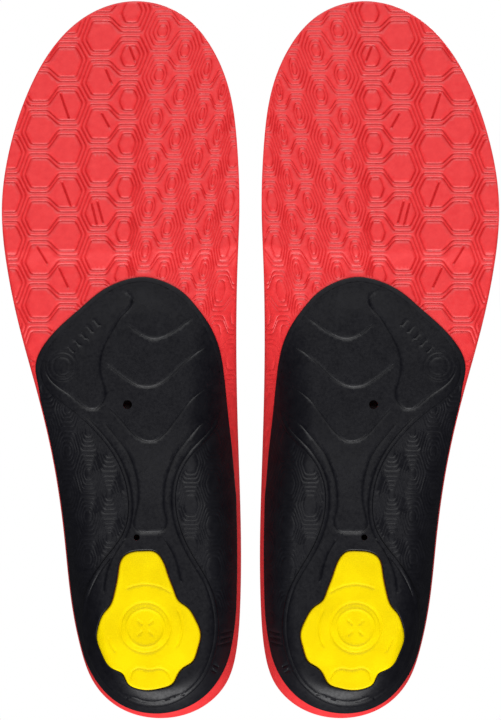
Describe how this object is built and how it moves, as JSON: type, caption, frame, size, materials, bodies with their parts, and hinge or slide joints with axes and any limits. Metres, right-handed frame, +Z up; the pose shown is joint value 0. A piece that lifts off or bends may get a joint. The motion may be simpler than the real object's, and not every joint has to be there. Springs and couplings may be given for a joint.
{
  "type": "cushioned insole pair",
  "caption": "Pair of contoured cushioned insoles with a raised heel cup, a stiff arch shell, a soft heel pad and a flexible forefoot.",
  "frame": {"origin": "on the ground, midway between the two insoles and midway along their length", "axes": "+Z up out of the foot side, +Y towards the toes, +X towards the outer side of the right insole"},
  "size_m": [0.194, 0.28, 0.0265],
  "materials": {
    "top_cover": "fine matt knit",
    "comfort_foam": "open-cell soft foam, matt",
    "foam_base": "moulded closed-cell foam, satin with a fine grain",
    "support_shell": "fine matt moulding, embossed flanks",
    "stabiliser": "smooth satin moulding",
    "heel_pad": "satin soft elastomer"
  },
  "bodies": {
    "right_rear": {"right_top_cover_rear": "top_cover", "right_comfort_foam_rear": "comfort_foam", "right_foam_base_rear": "foam_base", "right_support_shell": "support_shell", "right_stabiliser": "stabiliser", "right_heel_pad": "heel_pad"},
    "right_toe": {"right_top_cover_front": "top_cover", "right_comfort_foam_front": "comfort_foam", "right_foam_base_front": "foam_base"},
    "left_rear": {"left_top_cover_rear": "top_cover", "left_comfort_foam_rear": "comfort_foam", "left_foam_base_rear": "foam_base", "left_support_shell": "support_shell", "left_stabiliser": "stabiliser", "left_heel_pad": "heel_pad"},
    "left_toe": {"left_top_cover_front": "top_cover", "left_comfort_foam_front": "comfort_foam", "left_foam_base_front": "foam_base"}
  },
  "joints": [
    {"name": "right_toe_flex", "type": "hinge", "parent": "right_rear", "child": "right_toe", "pos_m": [0.0505, 0.05986, 0.0062], "axis": [0.9852, -0.1716, 0], "range_deg": [0, 50], "stiffness_Nm_per_rad": 0.04},
    {"name": "left_toe_flex", "type": "hinge", "parent": "left_rear", "child": "left_toe", "pos_m": [-0.0505, 0.05986, 0.0062], "axis": [0.9852, 0.1716, 0], "range_deg": [0, 50], "stiffness_Nm_per_rad": 0.04},
    {"name": "left_lift", "type": "slide", "parent": "right_rear", "child": "left_rear", "axis": [0, 0, 1], "range_m": [0, 0.06]}
  ]
}
